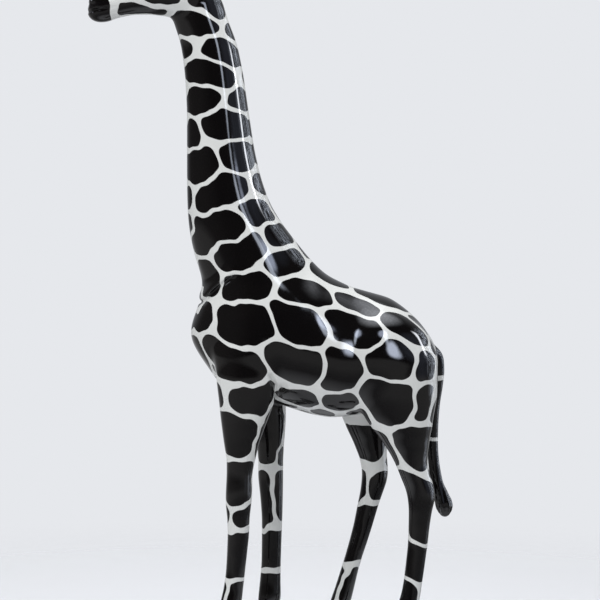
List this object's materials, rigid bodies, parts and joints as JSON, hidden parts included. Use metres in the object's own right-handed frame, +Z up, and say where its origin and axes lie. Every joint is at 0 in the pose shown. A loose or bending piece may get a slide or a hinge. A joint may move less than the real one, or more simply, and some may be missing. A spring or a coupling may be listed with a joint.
{
  "type": "giraffe statue",
  "caption": "Standing giraffe statue with glossy black patches and white lines, cast as hollow shells over a steel rod frame, on four foot pads.",
  "frame": {"origin": "centre of the bounding box's base, on the floor", "axes": "+Z up; the head points to -Y; the statue's own left side is +X"},
  "size_m": [0.2434, 0.7378, 1.4586],
  "materials": {
    "lacquered_resin": "rounded black patches divided by white lines, under a clear high-gloss lacquer",
    "glass_fibre": "rough laminated glass fibre, hidden inside the joints",
    "steel": "plain mild steel rod and bar, hidden inside",
    "rubber": "matt black"
  },
  "bodies": {
    "root": {"torso_left_shell": "lacquered_resin", "torso_right_shell": "lacquered_resin", "neck_shell": "lacquered_resin", "head_shell": "lacquered_resin", "left_ear": "lacquered_resin", "right_ear": "lacquered_resin", "left_ossicone": "lacquered_resin", "right_ossicone": "lacquered_resin", "tail": "lacquered_resin", "front_left_leg": "lacquered_resin", "front_right_leg": "lacquered_resin", "rear_left_leg": "lacquered_resin", "rear_right_leg": "lacquered_resin", "back_seam_strip": "glass_fibre", "belly_seam_strip": "glass_fibre", "neck_collar": "glass_fibre", "head_collar": "glass_fibre", "tail_wire": "steel", "front_cross_bar": "steel", "rear_cross_bar": "steel", "spine_bar": "steel", "neck_rod": "steel", "front_left_leg_rod": "steel", "front_right_leg_rod": "steel", "rear_left_leg_rod": "steel", "rear_right_leg_rod": "steel", "front_left_foot_pad": "rubber", "front_right_foot_pad": "rubber", "rear_left_foot_pad": "rubber", "rear_right_foot_pad": "rubber"}
  },
  "joints": []
}
